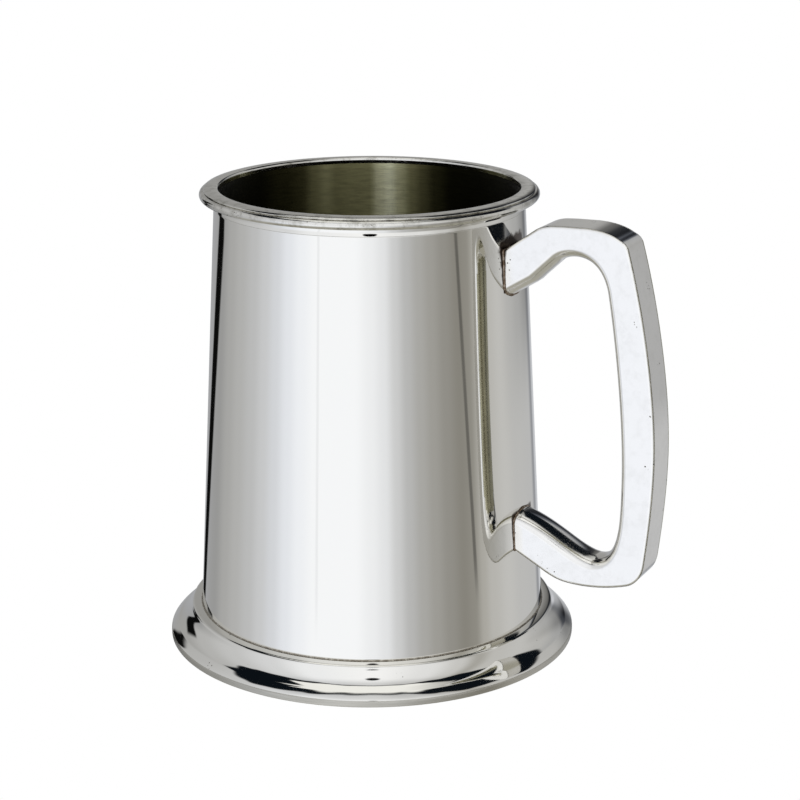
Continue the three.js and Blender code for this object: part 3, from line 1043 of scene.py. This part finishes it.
def add_seam(tree, tent, turn, rise, seam, width, depth):
    """A seam of the walls: a dark hairline below eye level."""
    off = calc(tree, "ABSOLUTE", calc(tree, "SUBTRACT", turn, seam))
    hairline = spread(tree, off, width, 2.5 * width, 1.0, 0.0)
    hairline = calc(tree, "MULTIPLY", hairline, spread(tree, rise, -17.5, -16.0, 0.0, depth))
    hairline = calc(tree, "MULTIPLY", hairline, spread(tree, rise, 0.0, 8.0, 1.0, 0.0))
    return blend_colors(tree, hairline, tent, SEAM_COLOR)


def add_softbox(tree, tent, turn, rise):
    """The softbox overhead, and the dark gap between it and the walls."""
    above = calc(tree, "SUBTRACT", rise, degrees_ramp(tree, turn, GAP_HEIGHT, 90))
    shade = calc(tree, "MULTIPLY", round_ramp(tree, turn, BOX_SHADE),
                 spread(tree, rise, 62.0, 84.0, 1.0, 0.0))
    softbox = blend_colors(tree, shade, SOFTBOX, DIM_SOFTBOX)
    tent = blend_colors(tree, spread(tree, above, -0.5, 0.5), tent, softbox)
    away = calc(tree, "SUBTRACT", calc(tree, "ABSOLUTE", above),
                degrees_ramp(tree, turn, GAP_WIDTH, 20))
    return blend_colors(tree, spread(tree, away, -1.0, 1.6, 1.0, 0.0), tent, GAP_COLOR)


def add_upright_gap(tree, tent, turn, rise):
    """The upright gap on the far side, at the left, which leans and sways as it rises."""
    middle = spread(tree, rise, -22.0, -10.0, -162.5, -137.5, smooth=False)
    sway = calc(tree, "MULTIPLY", spread(tree, rise, -10.0, -2.0, 0.0, 5.5),
                spread(tree, rise, -2.0, 15.0, 1.0, 0.0))
    middle = calc(tree, "SUBTRACT", middle, sway)
    beside = calc(tree, "ABSOLUTE", calc(tree, "SUBTRACT", turn, middle))
    upright = calc(tree, "MULTIPLY", spread(tree, beside, 4.3, 7.0, 1.0, 0.0),
                   spread(tree, rise, 14.0, 20.0, 1.0, 0.0))
    return blend_colors(tree, upright, tent, UPRIGHT_GAP_COLOR)


def add_lens_hole(tree, tent, turn, rise, hole_rise, half_width, half_height, inner, outer):
    """A dark round hole on the camera's side."""
    across = calc(tree, "DIVIDE", turn, half_width)
    up = calc(tree, "DIVIDE", calc(tree, "SUBTRACT", rise, hole_rise), half_height)
    hole = spread(tree, length(tree, across, up), inner, outer, 1.0, 0.0)
    return blend_colors(tree, hole, tent, BLACK)


def make_light_tent():
    """A white tent round the tankard, with a softbox above and dark gaps, as the world."""
    world = bpy.data.worlds.new("light_tent")
    bpy.context.scene.world = world
    world.use_nodes = True
    tree = world.node_tree
    place = tree.nodes.new("ShaderNodeTexCoord")
    turned_place = tree.nodes.new("ShaderNodeMapping")
    turned_place.inputs["Rotation"].default_value = (0, 0, math.radians(-VIEW_AROUND))
    link(tree, place.outputs["Generated"], turned_place.inputs["Vector"])
    way = split(tree, turned_place.outputs["Vector"])
    # Degrees round from the camera's side, + to its right, and degrees above the horizon
    forward = calc(tree, "MULTIPLY", way["Y"], -1.0)
    turn = calc(tree, "DEGREES", calc(tree, "ARCTAN2", way["X"], forward))
    rise = calc(tree, "DEGREES", calc(tree, "ARCSINE", way["Z"]))

    low = wall_ramp(tree, turn, LOW_WALL)
    high = wall_ramp(tree, turn, HIGH_WALL)
    tent = blend_colors(tree, spread(tree, rise, -7.0, 9.0), low, high)
    tent = blend_colors(tree, spread(tree, rise, 45.0, 70.0, 1.0, 0.68), BLACK, tent)
    # The table close by lies in the tankard's own shade
    tent = blend_colors(tree, spread(tree, rise, -55.0, -26.0, 1.0, 0.0), tent, TABLE_SHADE)
    level = calc(tree, "MULTIPLY", spread(tree, rise, -15.5, -11.5),
                 spread(tree, rise, 8.0, 22.0, 1.0, 0.0))
    dimmed = calc(tree, "MULTIPLY", level, round_ramp(tree, turn, WALL_SHADE))
    tent = blend_colors(tree, dimmed, tent, BLACK)
    # One seam leans and is plain; the other is upright and faint
    leaning = calc(tree, "SUBTRACT", 57.0, rise)
    tent = add_seam(tree, tent, turn, rise, leaning, width=0.7, depth=0.55)
    tent = add_seam(tree, tent, turn, rise, -37.0, width=0.5, depth=0.1)
    tent = add_softbox(tree, tent, turn, rise)
    tent = add_upright_gap(tree, tent, turn, rise)
    for hole in LENS_HOLES:
        tent = add_lens_hole(tree, tent, turn, rise, *hole)

    # The camera itself sees plain white
    light_path = tree.nodes.new("ShaderNodeLightPath")
    shown = blend_colors(tree, light_path.outputs["Is Camera Ray"], tent, WHITE)
    link(tree, shown, tree.nodes["Background"].inputs["Color"])


def make_table():
    """The pale table top, lit evenly enough to leave no shadow."""
    just_below = -0.0001
    bpy.ops.object.select_all(action="DESELECT")
    bpy.ops.mesh.primitive_circle_add(vertices=64, radius=6, fill_type="NGON",
                                      location=(AXIS_X * MM, 0, just_below))
    table = bpy.context.active_object
    table.name = "table_top"
    material = bpy.data.materials.new("white_table")
    material.use_nodes = True
    shader = material.node_tree.nodes["Principled BSDF"]
    shader.inputs["Base Color"].default_value = BLACK
    shader.inputs["Specular IOR Level"].default_value = 0
    shader.inputs["Emission Color"].default_value = WHITE
    shader.inputs["Emission Strength"].default_value = 1
    table.data.materials.append(material)
    table.visible_glossy = False


def make_camera():
    """The camera, standing back from the drum's axis and looking slightly down."""
    distance = 0.5214
    height = 0.2188
    tilt = 73.284                    # degrees from looking straight down
    pan = 27.139
    roll = 0.108
    around = math.radians(VIEW_AROUND)
    bpy.ops.object.camera_add()
    camera = bpy.context.active_object
    camera.name = "camera"
    camera.location = (AXIS_X * MM + distance * math.sin(around),
                       -distance * math.cos(around), height)
    camera.rotation_mode = "XYZ"
    camera.rotation_euler = (math.radians(tilt), math.radians(roll), math.radians(pan))
    camera.data.lens = 94.46
    camera.data.sensor_width = 36
    bpy.context.scene.camera = camera


# ---------------------------------------------------------------- the tankard


make_camera()

drum = make_drum()
lip = make_lip()
foot = make_foot()
floor_disc = make_floor_disc()
lip_solder = make_lip_seam()
foot_solder = make_foot_seam()
floor_solder = make_floor_seam()
handle_bar = make_handle()
upper_bead = make_root_bead("upper_root_bead", handle_bar, True)
lower_bead = make_root_bead("lower_root_bead", handle_bar, False)

drum_finish = mirror_finish(
    "polished_pewter", haze=0.03, hairlines=0.1, pit_cover=0.27, ripple=0.00002, base=0.03)
rim_finish = mirror_finish(
    "rim_pewter", haze=0.08, hairlines=0.5, pit_cover=0.40, ripple=0.00003, base=0.07,
    dulled=0.8, stain_and_shade=0.0, color=RIM_PEWTER)
foot_finish = mirror_finish(
    "foot_pewter", haze=0.03, hairlines=0.3, pit_cover=0.34, ripple=0.00002, base=0.035,
    stain_and_shade=0.0)
handle_finish = mirror_finish(
    "cast_pewter", haze=0.08, hairlines=0.6, pit_cover=0.36, ripple=0.0003, base=0.09,
    near_roots=0.85, dulled=0.1, color=PALE_PEWTER)
# The grip's side towards the drum is satin, and its darker olive colour is painted shade between
# grip and drum
grip_inside_finish = satin_finish(
    "grip_inside_pewter", (0.52, 0.50, 0.37, 1), roughness=0.24, depth=0.00001, lines=500.0)
inside_finish = inside_finish_with_painted_highlights("inside_pewter")
floor_finish = satin_finish(
    "satin_pewter", (0.26, 0.245, 0.18, 1), roughness=0.4, depth=0.00001, lines=2600.0)
# The foot's upright edge is turned satin, and its darker colour is painted shade from the table
# close by
edge_finish = satin_finish(
    "foot_edge_pewter", (0.60, 0.585, 0.53, 1), roughness=0.34, depth=0.00003, lines=2000.0)
solder = solder_finish(
    "soft_solder", dark=(0.30, 0.27, 0.22, 1), light=(0.62, 0.59, 0.52, 1))
stained_solder = solder_finish(
    "stained_solder", dark=(0.16, 0.11, 0.07, 1), light=(0.50, 0.42, 0.34, 1))

for piece, node, slot, material in (
    (drum, "body_drum", "polished_pewter", drum_finish),
    (lip, "lip_moulding", "rim_pewter", rim_finish),
    (foot, "foot_moulding", "foot_pewter", foot_finish),
    (floor_disc, "floor_disc", "satin_pewter", floor_finish),
    (handle_bar, "handle", "cast_pewter", handle_finish),
    (lip_solder, "lip_solder", "soft_solder", inside_finish),
    (foot_solder, "foot_solder", "soft_solder", solder),
    (floor_solder, "floor_solder", "soft_solder", solder),
    (upper_bead, "upper_root_solder", "soft_solder", stained_solder),
    (lower_bead, "lower_root_solder", "soft_solder", stained_solder),
):
    finish_with(piece, material)
    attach(piece, "root")
    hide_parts(node)

second_finish(drum, inside_finish, looks_inward)
second_finish(lip, drum_finish, on_collar)
second_finish(handle_bar, grip_inside_finish, on_grip_towards_drum)
second_finish(foot, edge_finish, on_foot_edge)
make_light_tent()
make_table()
bpy.context.scene.view_settings.view_transform = "Standard"
